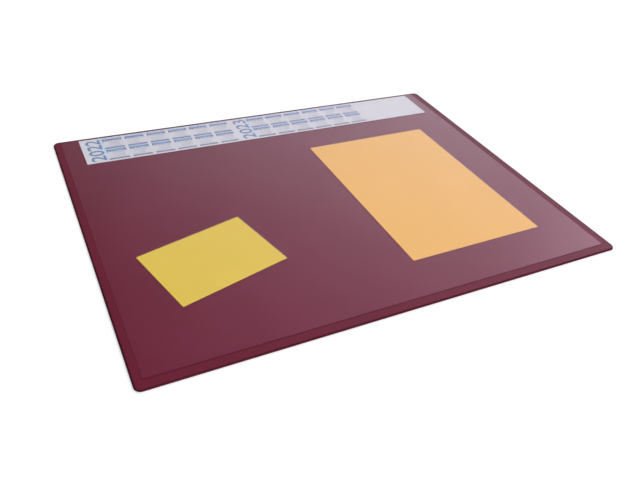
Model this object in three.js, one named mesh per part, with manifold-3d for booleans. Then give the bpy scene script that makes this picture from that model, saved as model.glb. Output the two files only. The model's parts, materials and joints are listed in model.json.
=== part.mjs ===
// Desk pad calendar: a flexible desk mat with a contoured edge, a clear cover film, a printed
// two-year strip along the back edge, and two loose note sheets held under the film.
// Millimetres. X runs along the long side, Y towards the strip, Z up.
// The origin is the centre of the underside.

import * as THREE from "three";
import { mergeVertices } from "three/addons/utils/BufferGeometryUtils.js";
import Module from "manifold-3d";

const wasm = await Module();
wasm.setup();

// The mat
const mat = {
  length: 650,
  width: 500,
  thickness: 2,
  cornerRadius: 8,
};

// The contoured edge: the top rolls down to a low outer wall, and the foot is eased
const edge = {
  roll: 2.75, // how far in the rolled top reaches
  drop: 1.25, // how far it falls
  footEase: 0.4,
  leastRadius: 0.5,
};

// The clear cover film, whose back edge meets the rolled edge of the mat
const film = {
  thickness: 0.25,
  leftBand: 10.5, // mat left bare on each side of the film
  rightBand: 12.3,
  frontBand: 13.3,
  cornerRadius: 1,
};

// How the film lies over what it holds: a flat top, then an S-shaped fall to the mat
const drape = {
  clearance: 0.4, // flat film past the rim of what it covers
  run: 1.6, // width of the fall
  air: 0.0625, // between the film and what it covers
  land: 0.6, // least flat film between two falls, or before the film's rim
};

// The printed strip, measured from the film's rims
const strip = {
  width: 70,
  thickness: 0.1875,
  leftMargin: 25.4,
  rightMargin: 16.5,
};

// The print on the strip: for each year a column for its figures, then two rows of months
const print = {
  years: [2022, 2023],
  rows: 2,
  thickness: 0.0625,
  sideMargin: 2.5,
  backMargin: 1.8,
  yearColumn: 30,
};

// One month: a ruled table with a line for its name, one for the week numbers and one for each
// day of the week, and with a column for the days' names and one for each week
const month = {
  perRow: 6,
  pitch: 34,
  rowGap: 0.2,
  line: 3.57,
  headingLines: 2,
  weekdayLines: 6,
  sundayLines: 1,
  labelColumn: 3.2,
  weekColumn: 4.3,
  weeks: 6,
  rule: 0.3,
};

// The upright rule between a year's figures and its first month
const yearRule = {
  width: 2.4,
  gap: 0.8, // from the rule to the first month
};

// The loose sheets under the film. Along and across say where in the free room each one lies:
// 0 is hard left or hard front, and 1 is hard right or hard back
const noteSheet = {
  length: 210,
  width: 297,
  thickness: 0.125,
  turn: THREE.MathUtils.degToRad(0.6),
  along: 0.86,
  across: 0.555,
};
const noteCard = {
  length: 148,
  width: 105,
  thickness: 0.25,
  turn: THREE.MathUtils.degToRad(15),
  along: 0.08,
  across: 0.303,
};

// Facets
const cornerSteps = 10;
const rollSteps = 8;
const easeSteps = 3;
const drapeCornerSteps = 4;
const drapeSteps = 5;

// Finishes
const finishes = {
  mat: { color: 0x6b2a3c, roughness: 0.55, metalness: 0 },
  film: { color: 0xf2eef2, roughness: 0.15, metalness: 0, transparent: true, opacity: 0.22 },
  strip: { color: 0xd9d8e0, roughness: 0.7, metalness: 0 },
  print: { color: 0x8093b4, roughness: 0.7, metalness: 0 },
  rule: { color: 0xbccdec, roughness: 0.7, metalness: 0 },
  noteSheet: { color: 0xf6b660, roughness: 0.8, metalness: 0 },
  noteCard: { color: 0xe6c93a, roughness: 0.8, metalness: 0 },
};

// Places worked out from the sizes
const filmRim = {
  left: -mat.length / 2 + film.leftBand,
  right: mat.length / 2 - film.rightBand,
  front: -mat.width / 2 + film.frontBand,
  back: mat.width / 2 - edge.roll,
};
const fallReach = drape.clearance + drape.run;
const stripLeft = filmRim.left + strip.leftMargin;
const stripRight = filmRim.right - strip.rightMargin;
const stripBack = filmRim.back - fallReach - drape.land;
const stripFront = stripBack - strip.width;
const stripTop = mat.thickness + strip.thickness;
const monthWidth = month.labelColumn + month.weeks * month.weekColumn;
const monthLines = month.headingLines + month.weekdayLines + month.sundayLines;
const monthDepth = monthLines * month.line;
const printBack = stripBack - print.backMargin;
const printDepth = print.rows * monthDepth + (print.rows - 1) * month.rowGap;
const freeRoom = {
  left: filmRim.left + fallReach + drape.land,
  right: filmRim.right - fallReach - drape.land,
  front: filmRim.front + fallReach + drape.land,
  back: stripFront - 2 * fallReach - drape.land,
};

// A round-cornered rectangle about the origin, anticlockwise
function roundedLoop(length, width, radius, steps) {
  const points = [];
  for (let corner = 0; corner < 4; corner += 1) {
    const start = (corner * Math.PI) / 2;
    const sideX = corner === 0 || corner === 3 ? 1 : -1;
    const sideY = corner < 2 ? 1 : -1;
    const centre = new THREE.Vector2(sideX * (length / 2 - radius), sideY * (width / 2 - radius));
    for (let step = 0; step <= steps; step += 1) {
      const angle = start + (step / steps) * (Math.PI / 2);
      const spoke = new THREE.Vector2(Math.cos(angle), Math.sin(angle));
      points.push(spoke.multiplyScalar(radius).add(centre));
    }
  }
  return points;
}

// Flat triangles that fill an outline around its holes, facing up
function flatFill(outline, holes, height) {
  const shape = new THREE.Shape(outline);
  shape.holes = holes.map((hole) => new THREE.Path(hole));
  const flat = new THREE.ShapeGeometry(shape).toNonIndexed().getAttribute("position");
  const corners = [];
  for (let i = 0; i < flat.count; i += 1) {
    corners.push(new THREE.Vector3(flat.getX(i), flat.getY(i), height));
  }
  return corners;
}

// Triangles between two loops with as many points, each loop at its own height.
// They face outwards where the first loop is the lower or the outer one
function band(first, firstHeight, second, secondHeight) {
  const corners = [];
  for (let i = 0; i < first.length; i += 1) {
    const next = (i + 1) % first.length;
    const a = new THREE.Vector3(first[i].x, first[i].y, firstHeight);
    const b = new THREE.Vector3(first[next].x, first[next].y, firstHeight);
    const c = new THREE.Vector3(second[next].x, second[next].y, secondHeight);
    const d = new THREE.Vector3(second[i].x, second[i].y, secondHeight);
    corners.push(a, b, c, a, c, d);
  }
  return corners;
}

// The same triangles, facing the other way
function turnedOver(corners) {
  return corners.slice().reverse();
}

function solidFrom(corners) {
  const geometry = new THREE.BufferGeometry().setFromPoints(corners);
  geometry.computeVertexNormals();
  return geometry;
}

function named(name, geometry, finish) {
  const mesh = new THREE.Mesh(geometry, new THREE.MeshStandardMaterial(finish));
  mesh.name = name;
  return mesh;
}

// Stations of the mat's edge from the underside to the writing face, as inset and height.
// The foot is a quarter circle, and the rolled top is a quarter of an ellipse
function edgeProfile() {
  const stations = [];
  for (let step = 0; step <= easeSteps; step += 1) {
    const angle = ((step / easeSteps) * Math.PI) / 2;
    const inset = edge.footEase * (1 - Math.sin(angle));
    stations.push({ inset, height: edge.footEase * (1 - Math.cos(angle)) });
  }
  for (let step = 0; step <= rollSteps; step += 1) {
    const angle = ((step / rollSteps) * Math.PI) / 2;
    const height = mat.thickness - edge.drop * (1 - Math.sin(angle));
    stations.push({ inset: edge.roll * (1 - Math.cos(angle)), height });
  }
  return stations;
}

// The mat: its edge profile carried round the corners, closed by the two flat faces
function matGeometry() {
  const stations = edgeProfile();
  const loops = stations.map(({ inset }) => {
    const radius = Math.max(mat.cornerRadius - inset, edge.leastRadius);
    return roundedLoop(mat.length - 2 * inset, mat.width - 2 * inset, radius, cornerSteps);
  });
  const corners = turnedOver(flatFill(loops[0], [], stations[0].height));
  for (let i = 1; i < loops.length; i += 1) {
    corners.push(...band(loops[i - 1], stations[i - 1].height, loops[i], stations[i].height));
  }
  corners.push(...flatFill(loops[loops.length - 1], [], mat.thickness));
  return solidFrom(corners);
}

// A loop round something under the film, grown outwards from its rim
function grownLoop(held, growth) {
  const length = held.length + 2 * growth;
  const width = held.width + 2 * growth;
  const origin = new THREE.Vector2();
  return roundedLoop(length, width, growth, drapeCornerSteps).map((point) =>
    point.rotateAround(origin, held.turn).add(held.centre),
  );
}

// One face of the film, facing up: flat on the mat, and raised over each thing it holds
function filmFace(outline, allHeld, lift) {
  const ground = mat.thickness + lift;
  const outerLoops = allHeld.map((held) => grownLoop(held, fallReach));
  const corners = flatFill(outline, outerLoops, ground);
  allHeld.forEach((held) => {
    let lower = { loop: grownLoop(held, fallReach), height: ground };
    for (let step = 1; step <= drapeSteps; step += 1) {
      const share = step / drapeSteps;
      const loop = grownLoop(held, drape.clearance + drape.run * (1 - share));
      const height = ground + held.rise * THREE.MathUtils.smoothstep(share, 0, 1);
      corners.push(...band(lower.loop, lower.height, loop, height));
      lower = { loop, height };
    }
    corners.push(...flatFill(lower.loop, [], lower.height));
  });
  return corners;
}

// The film: an upper and a lower face of one form, joined round the film's rim
function filmGeometry(allHeld) {
  const length = filmRim.right - filmRim.left;
  const width = filmRim.back - filmRim.front;
  const centre = new THREE.Vector2(
    (filmRim.left + filmRim.right) / 2,
    (filmRim.front + filmRim.back) / 2,
  );
  const outline = roundedLoop(length, width, film.cornerRadius, drapeCornerSteps).map((point) =>
    point.add(centre),
  );
  const upper = filmFace(outline, allHeld, film.thickness);
  const lower = turnedOver(filmFace(outline, allHeld, 0));
  const rim = band(outline, mat.thickness, outline, mat.thickness + film.thickness);
  return solidFrom([...upper, ...lower, ...rim]);
}

// Where a loose sheet lies, from its turn and its shares of the free room
function centreOf(sheet) {
  const cosine = Math.abs(Math.cos(sheet.turn));
  const sine = Math.abs(Math.sin(sheet.turn));
  const spanX = sheet.length * cosine + sheet.width * sine;
  const spanY = sheet.length * sine + sheet.width * cosine;
  const slackX = freeRoom.right - freeRoom.left - spanX;
  const slackY = freeRoom.back - freeRoom.front - spanY;
  return new THREE.Vector2(
    freeRoom.left + spanX / 2 + sheet.along * slackX,
    freeRoom.front + spanY / 2 + sheet.across * slackY,
  );
}

// A flat sheet that lies on the mat
function sheetMesh(name, sheet, finish) {
  const geometry = new THREE.BoxGeometry(sheet.length, sheet.width, sheet.thickness);
  geometry.translate(0, 0, sheet.thickness / 2);
  const mesh = named(name, geometry, finish);
  mesh.position.set(sheet.centre.x, sheet.centre.y, mat.thickness);
  mesh.rotation.z = sheet.turn;
  return mesh;
}

// A flat block between two corners, from a low to a high face
function block(left, right, front, back, low, high) {
  const box = new THREE.BoxGeometry(right - left, back - front, high - low);
  return box.translate((left + right) / 2, (front + back) / 2, (low + high) / 2);
}

// The same shape as a solid that can be cut
function cuttable(geometry) {
  const bare = geometry.clone();
  bare.deleteAttribute("normal");
  bare.deleteAttribute("uv");
  const merged = mergeVertices(bare);
  return new wasm.Manifold(
    new wasm.Mesh({
      numProp: 3,
      vertProperties: merged.getAttribute("position").array,
      triVerts: new Uint32Array(merged.index.array),
    }),
  );
}

function geometryOf(solid) {
  const cut = solid.getMesh();
  const geometry = new THREE.BufferGeometry();
  geometry.setAttribute("position", new THREE.BufferAttribute(cut.vertProperties, 3));
  geometry.setIndex(new THREE.BufferAttribute(cut.triVerts, 1));
  const flat = geometry.toNonIndexed();
  flat.computeVertexNormals();
  return flat;
}

// One month's field of print, from its back left corner: a table of thin ink with a window
// for the days' names and one for each week
function monthGeometry() {
  const ink = print.thickness;
  const daysFront = -monthDepth + month.sundayLines * month.line;
  const daysBack = -month.headingLines * month.line;
  let table = cuttable(block(0, monthWidth, -monthDepth, 0, 0, ink));
  for (let column = 0; column <= month.weeks; column += 1) {
    const left = column === 0 ? 0 : month.labelColumn + (column - 1) * month.weekColumn;
    const right = month.labelColumn + column * month.weekColumn;
    const inner = [left + month.rule / 2, right - month.rule / 2];
    table = table.subtract(cuttable(block(...inner, daysFront, daysBack, -ink, 2 * ink)));
  }
  return geometryOf(table);
}

// Every month of both years, the first half of a year behind the second half, and each
// year's upright rule
function printMeshes() {
  const meshes = [];
  const table = monthGeometry();
  const rule = block(-yearRule.width, 0, -printDepth, 0, 0, print.thickness);
  const panelPitch = print.yearColumn + month.perRow * month.pitch;
  print.years.forEach((year, panel) => {
    const panelLeft = stripLeft + print.sideMargin + print.yearColumn + panel * panelPitch;
    const upright = named(`year_rule_${year}`, rule, finishes.rule);
    upright.position.set(panelLeft - yearRule.gap, printBack, stripTop);
    meshes.push(upright);
    for (let index = 0; index < print.rows * month.perRow; index += 1) {
      const row = Math.floor(index / month.perRow);
      const column = index % month.perRow;
      const label = String(index + 1).padStart(2, "0");
      const mesh = named(`month_${year}_${label}`, table, finishes.print);
      const x = panelLeft + column * month.pitch;
      const y = printBack - row * (monthDepth + month.rowGap);
      mesh.position.set(x, y, stripTop);
      meshes.push(mesh);
    }
  });
  return meshes;
}

// Assembly
const yearStrip = {
  length: stripRight - stripLeft,
  width: strip.width,
  thickness: strip.thickness,
  turn: 0,
  centre: new THREE.Vector2((stripLeft + stripRight) / 2, (stripFront + stripBack) / 2),
  rise: strip.thickness + print.thickness + drape.air,
};
const sheet = {
  ...noteSheet,
  centre: centreOf(noteSheet),
  rise: noteSheet.thickness + drape.air,
};
const card = {
  ...noteCard,
  centre: centreOf(noteCard),
  rise: noteCard.thickness + drape.air,
};

const deskPadCalendar = new THREE.Group();
deskPadCalendar.name = "desk_pad_calendar";
deskPadCalendar.add(
  named("base_mat", matGeometry(), finishes.mat),
  sheetMesh("calendar_strip", yearStrip, finishes.strip),
  ...printMeshes(),
  sheetMesh("note_sheet", sheet, finishes.noteSheet),
  sheetMesh("note_card", card, finishes.noteCard),
  named("cover_film", filmGeometry([yearStrip, sheet, card]), finishes.film),
);

export default deskPadCalendar;
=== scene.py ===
"""Dresses the desk pad calendar: a flexible desk mat with a clear cover film, a printed year
strip and two loose note sheets under the film. Metres, Z up, in the frame of the model."""

import datetime
import json
import math

import bpy
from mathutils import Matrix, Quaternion, Vector

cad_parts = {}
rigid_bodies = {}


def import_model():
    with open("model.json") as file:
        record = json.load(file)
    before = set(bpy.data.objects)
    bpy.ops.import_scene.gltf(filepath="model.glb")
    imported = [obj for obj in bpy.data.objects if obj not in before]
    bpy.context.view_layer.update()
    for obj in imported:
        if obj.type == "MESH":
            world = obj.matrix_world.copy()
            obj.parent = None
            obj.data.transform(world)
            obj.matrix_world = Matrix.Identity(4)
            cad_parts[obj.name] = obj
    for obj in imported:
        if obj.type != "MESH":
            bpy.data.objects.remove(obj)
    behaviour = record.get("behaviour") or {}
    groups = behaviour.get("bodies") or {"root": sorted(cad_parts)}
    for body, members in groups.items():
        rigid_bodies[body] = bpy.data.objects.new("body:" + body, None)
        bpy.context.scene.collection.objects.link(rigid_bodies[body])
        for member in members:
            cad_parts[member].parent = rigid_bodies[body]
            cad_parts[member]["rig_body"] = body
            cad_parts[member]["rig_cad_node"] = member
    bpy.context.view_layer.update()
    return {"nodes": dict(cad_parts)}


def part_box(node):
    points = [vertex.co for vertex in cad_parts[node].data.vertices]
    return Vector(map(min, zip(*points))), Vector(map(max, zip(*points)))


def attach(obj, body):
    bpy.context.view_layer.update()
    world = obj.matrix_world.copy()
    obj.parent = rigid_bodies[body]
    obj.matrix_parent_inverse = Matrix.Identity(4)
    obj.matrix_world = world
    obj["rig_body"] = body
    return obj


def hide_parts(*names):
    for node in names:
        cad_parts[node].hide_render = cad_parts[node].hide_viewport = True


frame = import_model()

bl_info = {
    "name": "Desk Pad Calendar",
    "version": (1, 0, 0),
    "blender": (4, 5, 0),
    "location": "View3D > Sidebar > Desk Pad",
    "description": "Finishes a desk mat with its film, year strip and note sheets",
    "category": "Object",
}

MM = 0.001
BODY = "root"
YEARS = (2022, 2023)
MONTHS = range(1, 13)

# A month's table: its lines, from the name to Sunday, and its columns
NAME_LINE, WEEK_LINE, FIRST_DAY_LINE = 0, 1, 2
WEEKDAY_LINES = 6
TABLE_LINES = 9
LABEL_SHARE = 3.2 / 29.0
WEEKS = 6
WEEK_LENGTH = 7
MONDAY, SUNDAY = 0, 6

# The year figures stand this far from their rule
YEAR_GAP = 0.4 * MM

# Radius of the mat's corners, and how high above the desk the middle of its lip is
MAT_CORNER = 8 * MM
LIP_HEIGHT = 2.0 * MM

# How high the film's edge is at the sides and along the back, beside that at the front
SIDE_SHARE = 0.4

# How finely rounded pieces are divided, and the sharpest turn that still looks smooth
CORNER_STEPS = 6
FIELD_STEPS = 2
BEAD_STEPS = 2
YEAR_STEPS = 8
FIGURE_STEPS = 2
SMOOTH_BELOW = math.radians(60)

# Points nearer to each other than this are one point, in figures and in the film
FIGURE_MERGE = 0.0001
FILM_MERGE = 0.00001
# Film points lie flat on the mat within this share of the film's lift
FLAT_SHARE = 0.2

# Nearly all of a noise's values lie in the first range, and most of them in the second
NOISE_RANGE = (0.3, 0.7)
INK_NOISE_RANGE = (0.35, 0.65)

# Noises: how many waves in a metre, and how much finer detail
MAT_CLOUDS = (9.0, 3.0)
PAPER_CLOUDS = (14.0, 2.0)
EDGE_STREAKS = (400.0, 2.0)
INK_SPECKLES = (2500.0, 1.0)
GRAIN_DETAIL = 2.0
RIPPLE_DETAIL = 1.0
FIBRE_DETAIL = 4.0

# How much lighter and darker than its colour a surface gets
MAT_UNEVEN = 0.05
EDGE_UNEVEN = 0.1
STRIP_UNEVEN = 0.03
NOTE_UNEVEN = 0.015
INK_UNEVEN = 0.06
TABLE_UNEVEN = 0.08

# Share of the rim's width that has the full painted shade, and how much duller the rim is
RIM_FULL = 0.3
RIM_DULLNESS = 0.5
# The painted haze under the film fades in over this length at the film's edge
FILM_STEP = 0.2 * MM

# Heights of the bumps in the mat's grain, the film's waves and the paper's fibres
GRAIN_HEIGHT = 0.1 * MM
RIPPLE_HEIGHT = 20 * MM
FIBRE_HEIGHT = 0.05 * MM
FIBRE_STRENGTH = 0.15
STRIP_FIBRE = 0.8 * MM

# Roughness from the smoothest to the dullest spots, and the levels of gloss
GRAIN_DULL = (-0.04, 0.05)
EDGE_DULL = (0.5, 0.6)
PAPER_DULL = (0.7, 0.85)
INK_DULL = (0.55, 0.7)
TABLE_DULL = 0.6
EDGE_GLOSS = 0.15
PAPER_GLOSS = 0.3

# The stage
FLOOR_DROP = 0.02 * MM
LAMP_PLACE = (0.9, 0.4, 2.0)
SENSOR_WIDTH = 36.0
NEAREST_SEEN = 0.01
# The bright side fades in from this cosine of the angle to its middle
WINDOW_START = 0.43
# The room is white below the first height of a direction, and as lit above the second
HORIZON = (0.1, 0.2)
ROOM_TINT = (0.96, 0.96, 1.05)


def colour(text):
    """A colour written as six hex digits, as the linear numbers that Blender works with."""
    parts = [int(text[at : at + 2], 16) / 255 for at in (0, 2, 4)]
    return tuple(p / 12.92 if p <= 0.04045 else ((p + 0.055) / 1.055) ** 2.4 for p in parts)


def colour_property(name, description, text):
    """A colour that a user can change."""
    return bpy.props.FloatVectorProperty(
        name=name,
        description=description,
        subtype="COLOR",
        size=3,
        min=0.0,
        max=1.0,
        default=colour(text),
    )


def length_property(name, description, metres):
    """A length that a user can change."""
    return bpy.props.FloatProperty(
        name=name, description=description, default=metres, unit="LENGTH", precision=5
    )


def share_property(name, description, value):
    """A number from 0 to 1 that a user can change."""
    return bpy.props.FloatProperty(
        name=name, description=description, default=value, min=0.0, max=1.0, subtype="FACTOR"
    )


class MatSettings(bpy.types.PropertyGroup):
    """The plastic desk mat."""

    body: colour_property("Body", "Colour of the burgundy plastic", "601728")
    # The covered colour is the body lightened by painted haze: light scattered between the film
    # and the mat.
    covered: colour_property("Covered", "Its colour where the film clings to it", "6B2034")
    sheen: colour_property("Sheen", "Tint of what the plastic mirrors", "FFB2DA")
    # The rim colour is painted shade on the rolled edge, not denser plastic.
    rim: colour_property("Rim", "Colour of the rolled edge, where the plastic is denser", "3A0E1B")
    # Lighter than the rim colour: painted light on the front of the rolled edge.
    front_rim: colour_property("Front rim", "Colour of the rolled edge along the front", "6E2838")
    rim_width: length_property("Rim width", "How far in the darker edge reaches", 2.6 * MM)
    lip: length_property("Lip", "Half the thickness of the lip on the edge", 0.38 * MM)
    lip_inset: length_property("Lip inset", "How far in from the outline the lip stands", 1.0 * MM)
    grain: length_property("Grain", "Size of the fine grain", 0.6 * MM)
    grain_depth: share_property("Grain depth", "Strength of the grain", 0.08)
    roughness: share_property("Roughness", "How dull the plastic is", 0.38)
    shine: share_property("Shine", "How strongly the plastic mirrors", 0.7)
    rim_shine: share_property("Rim shine", "How strongly its rolled edge mirrors", 0.0)


class FilmSettings(bpy.types.PropertyGroup):
    """The clear cover film."""

    tint: colour_property("Tint", "Colour that the film lets through", "FDFCFD")
    veil: colour_property("Veil", "Tint of what the film mirrors", "FFB0C2")
    # The edge colour is partly the mat's colour taken up by the cut edge and partly painted shadow
    # under the lifted film edge.
    edge: colour_property("Edge", "Colour of the film's cut edge", "380F1C")
    edge_radius: length_property("Edge radius", "Half the height of the front edge", 0.17 * MM)
    corner: length_property("Corner", "Radius of the film's corners", 1.0 * MM)
    lift: length_property("Lift", "Air between the film and the mat", 0.05 * MM)
    roughness: share_property("Roughness", "How much the film blurs what it mirrors", 0.16)
    ripple: length_property("Ripple", "Size of the film's slow waves", 120 * MM)
    ripple_depth: share_property("Ripple depth", "Strength of the slow waves", 0.05)
    index: bpy.props.FloatProperty(
        name="Index", description="Refractive index of the film", default=1.5, min=1.0, max=2.5
    )


class StripSettings(bpy.types.PropertyGroup):
    """The printed strip."""

    paper: colour_property("Paper", "Colour of the strip's paper", "D9D8DE")
    name_line: colour_property("Name line", "Band behind a month's number", "BACCEA")
    week_line: colour_property("Week line", "Band behind the week numbers", "5E78A3")
    day_rule: colour_property("Day rule", "Upright rules between the weeks", "B4B9CC")
    sunday_line: colour_property("Sunday line", "Band behind the Sundays", "63738F")
    field: colour_property("Field", "Small fields under the week numbers", "7488B0")
    field_gap: length_property("Field gap", "Paper left bare between two fields", 1.8 * MM)
    field_corner: length_property("Field corner", "Radius of a field's corners", 0.25 * MM)
    year_rule: colour_property("Year rule", "Upright rule before the months", "C3D6EE")
    year_ink: colour_property("Year ink", "Ink of the large year figures", "6C86AF")
    day_ink: colour_property("Day ink", "Ink of the small day figures", "7C8399")
    pale_ink: colour_property("Pale ink", "Figures on the dark bands", "C8D2E6")
    figure_height: length_property("Figure height", "Height of the small figures", 2.4 * MM)
    figure_weight: share_property("Figure weight", "How bold the year figures are", 0.012)
    year_height: length_property("Year height", "Height of the year figures", 21.4 * MM)
    year_length: length_property("Year length", "Length of a year's four figures", 62.0 * MM)
    year_shift: length_property("Year shift", "How far to the front they stand", 0.9 * MM)
    ink: length_property("Ink", "Thickness of drawn ink", 0.012 * MM)


class NoteSettings(bpy.types.PropertyGroup):
    """The loose sheets under the film."""

    sheet: colour_property("Sheet", "Colour of the large note sheet", "F3BA65")
    card: colour_property("Card", "Colour of the small note card", "E5C551")
    fibre: length_property("Fibre", "Size of the paper's fibres", 1.5 * MM)


class StageSettings(bpy.types.PropertyGroup):
    """The floor, the lamps and the camera."""

    eye: bpy.props.FloatVectorProperty(
        name="Eye",
        description="Where the camera stands",
        subtype="TRANSLATION",
        default=(-0.38212, -0.66173, 0.50477),
    )
    aim: bpy.props.FloatVectorProperty(
        name="Aim",
        description="The point on the table that the camera looks at",
        subtype="TRANSLATION",
        default=(-0.04942, -0.09435, 0.0),
    )
    roll: bpy.props.FloatProperty(
        name="Roll",
        description="How far the camera leans about its line of sight",
        subtype="ANGLE",
        default=math.radians(6.52),
    )
    lens: bpy.props.FloatProperty(
        name="Lens", description="Focal length in millimetres", default=35.982
    )
    floor: colour_property("Floor", "Colour of the table", "F2F2F2")
    floor_size: length_property("Floor size", "Side of the table", 9.0)
    floor_glow: share_property("Floor glow", "White that the camera sees besides light", 0.1)
    key_power: bpy.props.FloatProperty(
        name="Key", description="Strength of the soft overhead lamp", default=3.25
    )
    key_spread: bpy.props.FloatProperty(
        name="Key spread",
        description="How wide the overhead lamp looks from the object",
        subtype="ANGLE",
        default=math.radians(80),
    )
    sky: share_property("Sky", "Level of the room's dim side", 0.02)
    window: bpy.props.FloatProperty(
        name="Window", description="Level of the room's bright side", default=1.24
    )
    window_bearing: bpy.props.FloatProperty(
        name="Window bearing",
        description="Where the bright side lies, turned from the long side",
        subtype="ANGLE",
        default=math.radians(31),
    )
    glow: bpy.props.FloatProperty(name="Glow", description="Level of the glow", default=0.8)
    glow_bearing: bpy.props.FloatProperty(
        name="Glow bearing",
        description="Where the glow lies, turned from the long side",
        subtype="ANGLE",
        default=math.radians(30),
    )
    glow_rise: bpy.props.FloatProperty(
        name="Glow rise",
        description="How high the glow stands over the table",
        subtype="ANGLE",
        default=math.radians(34),
    )
    glow_spread: bpy.props.FloatProperty(
        name="Glow spread",
        description="How far the glow reaches from its middle",
        subtype="ANGLE",
        default=math.radians(7),
    )


def settings(name):
    """The values that a user can change, for one group of pieces."""
    return getattr(bpy.context.scene, name)


# Selecting and joining


def select_only(*pieces):
    """Nothing but these pieces is selected, and the first one is active."""
    if bpy.context.object and bpy.context.object.mode != "OBJECT":
        bpy.ops.object.mode_set(mode="OBJECT")
    bpy.ops.object.select_all(action="DESELECT")
    for piece in pieces:
        piece.select_set(True)
    bpy.context.view_layer.objects.active = pieces[0]


def settle(piece):
    """Puts a piece's place, turn and size into its mesh."""
    select_only(piece)
    bpy.ops.object.transform_apply(location=True, rotation=True, scale=True)


def joined(pieces, name):
    """One piece of many, with its place in its mesh."""
    select_only(*pieces)
    if len(pieces) > 1:
        bpy.ops.object.join()
    piece = bpy.context.object
    piece.name = name
    piece.data.name = name
    settle(piece)
    return piece


def finish(piece, material=None, stands_for=()):
    """Gives a piece its material, its body and what it stands for."""
    if material:
        piece.data.materials.clear()
        piece.data.materials.append(material)
    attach(piece, BODY)
    if stands_for:
        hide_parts(*stands_for)


def dress(node, material):
    """Gives a node of the model its material."""
    slots = frame["nodes"][node].material_slots
    if not slots:
        raise RuntimeError(f"{node} has no material slot")
    for slot in slots:
        slot.material = material


# Materials


class Nodes:
    """Short names for making the nodes of a material, or of the room."""

    def __init__(self, name, room=False):
        self.owner = (bpy.data.worlds if room else bpy.data.materials).new(name)
        self.owner.use_nodes = True
        self.tree = self.owner.node_tree
        self.tree.nodes.clear()
        self.output = self.add("OutputWorld" if room else "OutputMaterial")

    def add(self, kind, **values):
        """A node with its own settings."""
        node = self.tree.nodes.new("ShaderNode" + kind)
        for key, value in values.items():
            setattr(node, key, value)
        return node

    def put(self, value, target):
        """Joins a socket to an input, or gives the input a number or a colour."""
        if isinstance(value, bpy.types.NodeSocket):
            self.tree.links.new(value, target)
        elif target.type == "RGBA":
            target.default_value = (*value, 1.0)
        else:
            target.default_value = value

    def made(self, kind, inputs, **values):
        """The first output of a node, with its inputs given by name or by number."""
        node = self.add(kind, **values)
        for key, value in inputs.items():
            self.put(value, node.inputs[key])
        return node.outputs[0]

    def maths(self, operation, first, second=0.0):
        """The result of a sum of sockets or numbers."""
        return self.made("Math", {0: first, 1: second}, operation=operation)

    def least(self, first, *others):
        """The least of some sockets or numbers."""
        for other in others:
            first = self.maths("MINIMUM", first, other)
        return first

    def place(self):
        """The point's place in the model's frame."""
        return self.add("TexCoord").outputs["Object"]

    def split(self, vector):
        """The three numbers of a vector."""
        node = self.add("SeparateXYZ")
        self.put(vector, node.inputs[0])
        return node.outputs

    def noise(self, scale, detail):
        """A noise of that many waves in a metre, between 0 and 1."""
        return self.made("TexNoise", {"Scale": scale, "Detail": detail, "Vector": self.place()})

    def mix(self, share, first, second):
        """A colour between two, by a share from a socket."""
        node = self.add("Mix", data_type="RGBA")
        self.put(share, node.inputs["Factor"])
        self.put(first, node.inputs[6])
        self.put(second, node.inputs[7])
        return node.outputs[2]

    def range(self, value, low, high, to_low, to_high, smooth=False):
        """A value carried from one range to another, held at its ends."""
        ends = {"From Min": low, "From Max": high, "To Min": to_low, "To Max": to_high}
        kind = "SMOOTHSTEP" if smooth else "LINEAR"
        return self.made("MapRange", {"Value": value, **ends}, interpolation_type=kind)

    def spread(self, noise, low=0.0, high=1.0):
        """A noise carried to a range of values."""
        return self.range(noise, *NOISE_RANGE, low, high)

    def uneven(self, share, tone, amount):
        """A colour that gets darker and lighter by an amount."""
        return self.mix(share, shade(tone, -amount), shade(tone, amount))

    def bump(self, height, strength, distance):
        """A normal that follows a height."""
        return self.made("Bump", {"Strength": strength, "Distance": distance, "Height": height})

    def facing(self, direction, bearing, rise=0.0):
        """The cosine of the angle between a direction and a bearing with its rise."""
        node = self.add("VectorMath", operation="DOT_PRODUCT")
        self.put(direction, node.inputs[0])
        node.inputs[1].default_value = (
            math.cos(rise) * math.cos(bearing),
            math.cos(rise) * math.sin(bearing),
            math.sin(rise),
        )
        return node.outputs["Value"]

    def surface(self, shader):
        """The material, or the room, once it looks like this shader."""
        self.put(shader, self.output.inputs["Surface"])
        return self.owner


def shade(tone, amount):
    """A colour made lighter or darker by a share of itself."""
    return tuple(min(1.0, part * (1 + amount)) for part in tone)


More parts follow.
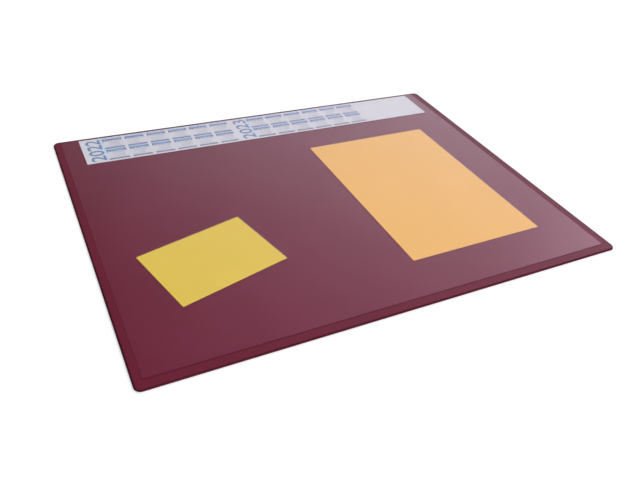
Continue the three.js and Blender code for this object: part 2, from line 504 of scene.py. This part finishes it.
def mat_material():
    """Burgundy plastic with a fine grain, faintly clouded. Its rolled edge is darker with painted
    shade, less so along the front, and where the film covers it a painted haze lightens it.
    """
    look = settings("desk_mat")
    nodes = Nodes("mat_plastic")
    low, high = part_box("base_mat")
    film_low, film_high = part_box("cover_film")
    x, y, _ = nodes.split(nodes.place())
    inwards = nodes.least(
        nodes.maths("SUBTRACT", high.x, nodes.maths("ABSOLUTE", x)),
        nodes.maths("SUBTRACT", high.y, nodes.maths("ABSOLUTE", y)),
    )
    # Where the film covers the mat, a lighter colour paints the film's haze.
    under_film = nodes.least(
        nodes.maths("SUBTRACT", x, film_low.x),
        nodes.maths("SUBTRACT", film_high.x, x),
        nodes.maths("SUBTRACT", y, film_low.y),
    )
    cloud = nodes.spread(nodes.noise(*MAT_CLOUDS))
    bare = nodes.uneven(cloud, look.body, MAT_UNEVEN)
    covered = nodes.uneven(cloud, look.covered, MAT_UNEVEN)
    flat = nodes.mix(nodes.range(under_film, 0.0, FILM_STEP, 0.0, 1.0), bare, covered)
    # The rolled edge gets painted shade: the rim colours, fading into the body over the rim's
    # width.
    off_rim = nodes.range(inwards, RIM_FULL * look.rim_width, look.rim_width, 0.0, 1.0)
    # Along the front the painted shade of the rim is lighter, as painted light on the front of the
    # roll.
    front = nodes.range(y, low.y, low.y + look.rim_width, 1.0, 0.0)
    rolled = nodes.mix(front, look.rim, look.front_rim)
    grain = nodes.noise(1 / look.grain, GRAIN_DETAIL)
    dull = nodes.spread(grain, *(look.roughness + change for change in GRAIN_DULL))
    # Where the edge rolls down the plastic is rubbed dull
    rubbed = nodes.range(off_rim, 0.0, 1.0, RIM_DULLNESS, 0.0)
    plastic = {
        "Base Color": nodes.mix(off_rim, rolled, flat),
        "Normal": nodes.bump(grain, look.grain_depth, GRAIN_HEIGHT),
        "Roughness": nodes.maths("ADD", dull, rubbed),
        "Specular IOR Level": nodes.range(off_rim, 0.0, 1.0, look.rim_shine, look.shine),
        "Specular Tint": look.sheen,
    }
    return nodes.surface(nodes.made("BsdfPrincipled", plastic))


def film_material():
    """Clear soft plastic. Lamps and scattered light pass straight through it."""
    look = settings("cover_film")
    nodes = Nodes("clear_film")
    wave = nodes.noise(1 / look.ripple, RIPPLE_DETAIL)
    plastic = {
        "Base Color": look.tint,
        "Transmission Weight": 1.0,
        "IOR": look.index,
        "Specular Tint": look.veil,
        "Roughness": look.roughness,
        "Normal": nodes.bump(wave, look.ripple_depth, RIPPLE_HEIGHT),
    }
    film = nodes.made("BsdfPrincipled", plastic)
    clear = nodes.made("BsdfTransparent", {"Color": look.tint})
    path = nodes.add("LightPath").outputs
    passing = nodes.maths("MAXIMUM", path["Is Shadow Ray"], path["Is Diffuse Ray"])
    return nodes.surface(nodes.made("MixShader", {"Fac": passing, 1: film, 2: clear}))


def edge_material():
    """The film's cut edge, dark partly because it takes up the mat's colour and partly with
    painted shadow of the lifted edge and the gap under it.
    """
    look = settings("cover_film")
    nodes = Nodes("film_edge_and_shadow")
    streak = nodes.spread(nodes.noise(*EDGE_STREAKS))
    plastic = {
        "Base Color": nodes.uneven(streak, look.edge, EDGE_UNEVEN),
        "Roughness": nodes.range(streak, 0.0, 1.0, *EDGE_DULL),
        "Specular IOR Level": EDGE_GLOSS,
    }
    return nodes.surface(nodes.made("BsdfPrincipled", plastic))


def paper_material(name, ground, fibre, unevenness):
    """Matt paper with faint fibres."""
    nodes = Nodes(name)
    fibres = nodes.noise(1 / fibre, FIBRE_DETAIL)
    cloud = nodes.spread(nodes.noise(*PAPER_CLOUDS))
    paper = {
        "Base Color": nodes.uneven(cloud, ground, unevenness),
        "Roughness": nodes.spread(fibres, *PAPER_DULL),
        "Normal": nodes.bump(fibres, FIBRE_STRENGTH, FIBRE_HEIGHT),
        "Specular IOR Level": PAPER_GLOSS,
    }
    return nodes.surface(nodes.made("BsdfPrincipled", paper))


def ink_material(name, tone):
    """Flat printing ink, a little uneven."""
    nodes = Nodes(name)
    speckle = nodes.range(nodes.noise(*INK_SPECKLES), *INK_NOISE_RANGE, 0.0, 1.0)
    ink = {
        "Base Color": nodes.uneven(speckle, tone, INK_UNEVEN),
        "Roughness": nodes.range(speckle, 0.0, 1.0, *INK_DULL),
        "Specular IOR Level": PAPER_GLOSS,
    }
    return nodes.surface(nodes.made("BsdfPrincipled", ink))


def table_material():
    """The ink of the month tables: a tone for each of a table's lines, worked out from how far
    in front of the back edge of its table a point lies."""
    look = settings("year_strip")
    nodes = Nodes("month_table")
    # January stands in the back row of months and July in front of it
    low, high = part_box(f"month_{YEARS[0]}_01")
    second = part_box(f"month_{YEARS[0]}_07")[1]
    depth, pitch = high.y - low.y, high.y - second.y
    inwards = nodes.maths("SUBTRACT", high.y, nodes.split(nodes.place())["Y"])
    along = nodes.maths("MODULO", nodes.maths("ADD", inwards, pitch), pitch)
    ramp = nodes.add("ValToRGB")
    ramp.color_ramp.interpolation = "CONSTANT"
    nodes.put(nodes.maths("DIVIDE", along, depth), ramp.inputs["Fac"])
    tones = {
        NAME_LINE: look.name_line,
        WEEK_LINE: look.week_line,
        FIRST_DAY_LINE: look.day_rule,
        FIRST_DAY_LINE + WEEKDAY_LINES: look.sunday_line,
    }
    stops = ramp.color_ramp.elements
    stops.remove(stops[1])
    for line, tone in tones.items():
        stop = stops[0] if line == NAME_LINE else stops.new(line / TABLE_LINES)
        stop.color = (*tone, 1.0)
    speckle = nodes.range(
        nodes.noise(*INK_SPECKLES), *INK_NOISE_RANGE, 1.0 - TABLE_UNEVEN, 1.0 + TABLE_UNEVEN
    )
    speckled = {0: ramp.outputs["Color"], "Scale": speckle}
    ink = {
        "Base Color": nodes.made("VectorMath", speckled, operation="SCALE"),
        "Roughness": TABLE_DULL,
        "Specular IOR Level": PAPER_GLOSS,
    }
    return nodes.surface(nodes.made("BsdfPrincipled", ink))


# Pieces


def figures(text, height, place, turn=0.0, length=None):
    """Plain figures as thin as ink, with their middle at a place. With a length of their own,
    as the years have, they are stretched to it, and are bolder and rounder."""
    look = settings("year_strip")
    bpy.ops.object.text_add(location=(0, 0, 0))
    piece = bpy.context.object
    piece.data.body = text
    piece.data.align_x = "CENTER"
    piece.data.align_y = "CENTER"
    piece.data.resolution_u = FIGURE_STEPS if length is None else YEAR_STEPS
    piece.data.size = 1.0
    piece.data.extrude = 0.5
    piece.data.offset = 0.0 if length is None else look.figure_weight
    bpy.ops.object.convert(target="MESH")
    piece = bpy.context.object
    low = Vector(min(v.co[i] for v in piece.data.vertices) for i in range(3))
    high = Vector(max(v.co[i] for v in piece.data.vertices) for i in range(3))
    rise = height / (high.y - low.y)
    stretch = rise if length is None else length / (high.x - low.x)
    middle = (low + high) / 2
    # One unit thick and standing on the ground, so that the scale sets the ink's thickness
    bpy.ops.object.mode_set(mode="EDIT")
    bpy.ops.mesh.select_all(action="SELECT")
    bpy.ops.mesh.remove_doubles(threshold=FIGURE_MERGE)
    bpy.ops.transform.translate(value=(-middle.x, -middle.y, 0.5))
    bpy.ops.object.mode_set(mode="OBJECT")
    piece.scale = (stretch, rise, look.ink)
    settle(piece)
    piece.rotation_euler.z = turn
    piece.location = place
    settle(piece)
    return piece


def outline(name, low, high, corner, z):
    """A closed curve round a field with rounded corners, at a height."""
    bpy.ops.mesh.primitive_plane_add(
        size=1.0, location=((low.x + high.x) / 2, (low.y + high.y) / 2, z)
    )
    field = bpy.context.object
    field.name = name
    field.scale = (high.x - low.x, high.y - low.y, 1.0)
    settle(field)
    bpy.ops.object.mode_set(mode="EDIT")
    bpy.ops.mesh.select_all(action="SELECT")
    bpy.ops.mesh.bevel(
        offset=corner, segments=CORNER_STEPS, affect="VERTICES", offset_type="OFFSET"
    )
    bpy.ops.mesh.delete(type="ONLY_FACE")
    bpy.ops.object.mode_set(mode="OBJECT")
    bpy.ops.object.convert(target="CURVE")
    curve = bpy.context.object
    curve.data.dimensions = "3D"
    return curve


def bead(curve, radius):
    """A round bead along a curve."""
    curve.data.bevel_depth = radius
    curve.data.bevel_resolution = BEAD_STEPS
    bpy.ops.object.convert(target="MESH")
    piece = bpy.context.object
    settle(piece)
    bpy.ops.object.shade_smooth_by_angle(angle=SMOOTH_BELOW)
    return piece


def mat_lip(plastic):
    """A fine raised lip on the mat's rolled edge."""
    look = settings("desk_mat")
    low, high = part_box("base_mat")
    inset = Vector((look.lip_inset, look.lip_inset, 0.0))
    corner = MAT_CORNER - look.lip_inset
    curve = outline("mat_lip", low + inset, high - inset, corner, LIP_HEIGHT)
    finish(bead(curve, look.lip), plastic)


class DESKPAD_OT_mat(bpy.types.Operator):
    """Finish the desk mat, with the lip on its edge"""

    bl_idname = "deskpad.mat"
    bl_label = "Desk mat"

    def execute(self, context):
        plastic = mat_material()
        dress("base_mat", plastic)
        mat_lip(plastic)
        return {"FINISHED"}


class DESKPAD_OT_film(bpy.types.Operator):
    """Lay the clear cover film over the mat, the strip and the sheets"""

    bl_idname = "deskpad.film"
    bl_label = "Cover film"

    def execute(self, context):
        look = settings("cover_film")
        select_only(frame["nodes"]["cover_film"])
        bpy.ops.object.duplicate()
        film = bpy.context.object
        film.name = "clear_film"
        film.data.name = "clear_film"
        # The copy is a piece of its own and not a node of the model
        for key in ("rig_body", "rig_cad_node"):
            if key in film:
                del film[key]
        film.parent = None
        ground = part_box("base_mat")[1].z
        bpy.ops.object.mode_set(mode="EDIT")
        bpy.ops.mesh.select_all(action="SELECT")
        bpy.ops.mesh.remove_doubles(threshold=FILM_MERGE)
        bpy.ops.mesh.select_all(action="DESELECT")
        bpy.ops.object.mode_set(mode="OBJECT")
        for vertex in film.data.vertices:
            vertex.select = abs(vertex.co.z - ground) < FLAT_SHARE * look.lift
        bpy.ops.object.mode_set(mode="EDIT")
        bpy.ops.mesh.select_mode(type="VERT")
        bpy.ops.transform.translate(value=(0, 0, look.lift))
        bpy.ops.object.mode_set(mode="OBJECT")
        finish(film, film_material(), stands_for=("cover_film",))
        cut_edge()
        return {"FINISHED"}


def cut_edge():
    """The film's cut edge: a fine bead round it, fullest along the front, where it is lifted. Its
    dark colour is partly painted shadow under the lifted edge.
    """
    look = settings("cover_film")
    low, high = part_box("cover_film")
    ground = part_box("base_mat")[1].z
    curve = outline("film_edge_and_shadow", low, high, look.corner, ground + look.edge_radius)
    for point in curve.data.splines[0].points:
        if point.co.y - low.y >= look.corner:
            point.radius = SIDE_SHARE
            point.co.z -= look.edge_radius * (1.0 - SIDE_SHARE)
    finish(bead(curve, look.edge_radius), edge_material())


class DESKPAD_OT_strip(bpy.types.Operator):
    """Finish the strip's paper, its upright rules and its year figures"""

    bl_idname = "deskpad.strip"
    bl_label = "Year strip"

    def execute(self, context):
        look = settings("year_strip")
        paper = paper_material("strip_paper", look.paper, STRIP_FIBRE, STRIP_UNEVEN)
        dress("calendar_strip", paper)
        rule_ink = ink_material("rule_ink", look.year_rule)
        year_ink = ink_material("year_ink", look.year_ink)
        table_ink = table_material()
        paper_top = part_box("calendar_strip")[1].z
        for year in YEARS:
            dress(f"year_rule_{year}", rule_ink)
            for month in MONTHS:
                dress(f"month_{year}_{month:02d}", table_ink)
            low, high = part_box(f"year_rule_{year}")
            place = Vector(
                (
                    low.x - look.year_height / 2 - YEAR_GAP,
                    (low.y + high.y) / 2 - look.year_shift,
                    paper_top,
                )
            )
            piece = figures(
                str(year), look.year_height, place, math.radians(90), look.year_length
            )
            piece = joined([piece], f"year_figures_{year}")
            finish(piece, year_ink)
        return {"FINISHED"}


def plate(length, width):
    """A small field of ink with rounded corners, on the ground at the origin."""
    look = settings("year_strip")
    bpy.ops.mesh.primitive_plane_add(size=1.0)
    piece = bpy.context.object
    piece.scale = (length, width, 1.0)
    settle(piece)
    bpy.ops.object.mode_set(mode="EDIT")
    bpy.ops.mesh.select_all(action="SELECT")
    bpy.ops.mesh.bevel(offset=look.field_corner, segments=FIELD_STEPS, affect="VERTICES")
    bpy.ops.object.mode_set(mode="OBJECT")
    # Half as thick as the figures, which stand out of it
    solid = piece.modifiers.new("ink", "SOLIDIFY")
    solid.thickness = look.ink / 2
    solid.offset = 1.0
    bpy.ops.object.modifier_apply(modifier=solid.name)
    return piece


def copied(master, place):
    """A copy of a piece, with a mesh of its own, at a place."""
    copy = master.copy()
    copy.data = master.data.copy()
    bpy.context.scene.collection.objects.link(copy)
    copy.location = place
    return copy


class DESKPAD_OT_months(bpy.types.Operator):
    """Print each month's number, its week numbers, its days and its small fields"""

    bl_idname = "deskpad.months"
    bl_label = "Month figures"

    def execute(self, context):
        look = settings("year_strip")
        inks = {
            "days": ink_material("day_ink", look.day_ink),
            "heads": ink_material("pale_ink", look.pale_ink),
            "fields": ink_material("field_ink", look.field),
        }
        masters = {}
        for year in YEARS:
            for month in MONTHS:
                for name, pieces in print_month(year, month, masters).items():
                    piece = joined(pieces, f"{name}_{year}_{month:02d}")
                    finish(piece, inks[name])
        for master in masters.values():
            bpy.data.objects.remove(master)
        return {"FINISHED"}


def print_month(year, month, masters):
    """The print of one month: copies of one model of each number and each field."""
    look = settings("year_strip")
    low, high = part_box(f"month_{year}_{month:02d}")
    line = (high.y - low.y) / TABLE_LINES
    first_week = low.x + LABEL_SHARE * (high.x - low.x)
    week_width = (high.x - first_week) / WEEKS
    paper_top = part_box("calendar_strip")[1].z

    def spot(column, row, z):
        """The middle of a place in the table, at a height."""
        return first_week + (column + 0.5) * week_width, high.y - (row + 0.5) * line, z

    def put(number, column, row, raised):
        """A copy of a number's model, on a band of the table or on the bare paper."""
        if number not in masters:
            masters[number] = figures(str(number), look.figure_height, Vector())
        return copied(masters[number], spot(column, row, high.z if raised else paper_top))

    if "field" not in masters:
        masters["field"] = plate(week_width - look.field_gap, line)
    pieces = {
        "days": [put(month, (WEEKS - 1) / 2, NAME_LINE, True)],
        "heads": [],
        # They begin in the label column, one place before the first week
        "fields": [
            copied(masters["field"], spot(column, FIRST_DAY_LINE, paper_top))
            for column in range(-1, WEEKS)
        ],
    }
    day = datetime.date(year, month, 1)
    starts_on = day.weekday()
    seen_weeks = set()
    while day.month == month:
        column, weekday = divmod(starts_on + day.day - 1, WEEK_LENGTH)
        if column not in seen_weeks:
            pieces["heads"].append(put(day.isocalendar()[1], column, WEEK_LINE, True))
            seen_weeks.add(column)
        group = "heads" if weekday in (MONDAY, SUNDAY) else "days"
        number = put(day.day, column, FIRST_DAY_LINE + weekday, weekday == SUNDAY)
        pieces[group].append(number)
        day += datetime.timedelta(days=1)
    return pieces


class DESKPAD_OT_notes(bpy.types.Operator):
    """Finish the two loose sheets under the film"""

    bl_idname = "deskpad.notes"
    bl_label = "Note sheets"

    def execute(self, context):
        look = settings("note_paper")
        for node, name, tone in (
            ("note_sheet", "sheet_paper", look.sheet),
            ("note_card", "card_paper", look.card),
        ):
            dress(node, paper_material(name, tone, look.fibre, NOTE_UNEVEN))
        return {"FINISHED"}


class DESKPAD_OT_stage(bpy.types.Operator):
    """Set up the floor, the lamps and the camera"""

    bl_idname = "deskpad.stage"
    bl_label = "Stage"

    def execute(self, context):
        look = settings("stage_look")
        bpy.ops.mesh.primitive_plane_add(size=look.floor_size, location=(0, 0, -FLOOR_DROP))
        floor = bpy.context.object
        floor.name = "table_top"
        floor.data.materials.append(floor_material())

        bpy.ops.object.light_add(type="SUN", location=LAMP_PLACE)
        lamp = bpy.context.object
        lamp.name = "overhead_lamp"
        lamp.data.angle = look.key_spread
        lamp.data.energy = look.key_power
        lamp.visible_glossy = False
        lamp.visible_transmission = False
        lamp.rotation_euler = (-lamp.location).to_track_quat("-Z", "Y").to_euler()

        context.scene.world = room_material()

        bpy.ops.object.camera_add(location=look.eye)
        camera = bpy.context.object
        camera.name = "camera"
        gaze = Vector(look.aim) - Vector(look.eye)
        level = gaze.to_track_quat("-Z", "Y")
        camera.rotation_euler = (level @ Quaternion((0, 0, 1), look.roll)).to_euler()
        camera.data.sensor_width = SENSOR_WIDTH
        camera.data.lens = look.lens
        camera.data.clip_start = NEAREST_SEEN
        context.scene.camera = camera
        context.scene.view_settings.view_transform = "Standard"
        return {"FINISHED"}


def floor_material():
    """A matt white table. The camera sees it white, and the object's shadow stays on it."""
    look = settings("stage_look")
    nodes = Nodes("white_table")
    path = nodes.add("LightPath").outputs
    seen = nodes.maths("MAXIMUM", path["Is Camera Ray"], path["Is Transmission Ray"])
    seen = nodes.maths("MAXIMUM", seen, path["Is Glossy Ray"])
    matt = nodes.made("BsdfDiffuse", {"Color": look.floor})
    glow = nodes.made("Emission", {"Strength": nodes.maths("MULTIPLY", seen, look.floor_glow)})
    return nodes.surface(nodes.made("AddShader", {0: matt, 1: glow}))


def room_material():
    """The room: dim, with one bright side that the film mirrors as a veil growing towards that
    side, and white at the level of the table."""
    look = settings("stage_look")
    nodes = Nodes("studio", room=True)
    # For the room these coordinates are the direction that is looked in
    direction = nodes.add("TexCoord").outputs["Generated"]
    near_window = nodes.facing(direction, look.window_bearing)
    bright = nodes.range(near_window, WINDOW_START, 1.0, look.sky, look.window)

    # A lamp's glow low on the right, which brightens the film's front corner
    near_glow = nodes.facing(direction, look.glow_bearing, look.glow_rise)
    rim_of_glow = math.cos(look.glow_spread)
    glow = nodes.range(near_glow, rim_of_glow, 1.0, 0.0, look.glow, smooth=True)
    lit = nodes.maths("ADD", bright, glow)

    # Level with the table and below it the room is plain white
    low = nodes.range(nodes.split(direction)["Z"], *HORIZON, 1.0, 0.0, smooth=True)
    level = nodes.made("Mix", {"Factor": low, "A": lit, "B": 1.0}, data_type="FLOAT")
    return nodes.surface(nodes.made("Background", {"Color": ROOM_TINT, "Strength": level}))


class DESKPAD_PT_panel(bpy.types.Panel):
    """Lists the steps that finish the desk pad, and the settings of its pieces"""

    bl_idname = "DESKPAD_PT_panel"
    bl_label = "Desk Pad"
    bl_space_type = "VIEW_3D"
    bl_region_type = "UI"
    bl_category = "Desk Pad"

    def draw(self, context):
        for operator in OPERATORS:
            self.layout.operator(operator.bl_idname)
        for name, group in SETTINGS.items():
            box = self.layout.box()
            box.label(text=group.__doc__)
            for key in group.__annotations__:
                box.prop(getattr(context.scene, name), key)


OPERATORS = (
    DESKPAD_OT_mat,
    DESKPAD_OT_film,
    DESKPAD_OT_strip,
    DESKPAD_OT_months,
    DESKPAD_OT_notes,
    DESKPAD_OT_stage,
)
SETTINGS = {
    "desk_mat": MatSettings,
    "cover_film": FilmSettings,
    "year_strip": StripSettings,
    "note_paper": NoteSettings,
    "stage_look": StageSettings,
}


def register():
    """Makes the settings, the steps and the panel known to Blender."""
    for group in (*SETTINGS.values(), *OPERATORS, DESKPAD_PT_panel):
        bpy.utils.register_class(group)
    for name, group in SETTINGS.items():
        setattr(bpy.types.Scene, name, bpy.props.PointerProperty(type=group))


def unregister():
    """Takes them away again."""
    for name in SETTINGS:
        delattr(bpy.types.Scene, name)
    for group in (DESKPAD_PT_panel, *reversed(OPERATORS), *SETTINGS.values()):
        bpy.utils.unregister_class(group)


def main():
    """Finishes the whole desk pad."""
    register()
    bpy.ops.deskpad.mat()
    bpy.ops.deskpad.film()
    bpy.ops.deskpad.strip()
    bpy.ops.deskpad.months()
    bpy.ops.deskpad.notes()
    bpy.ops.deskpad.stage()


if __name__ == "__main__":
    main()
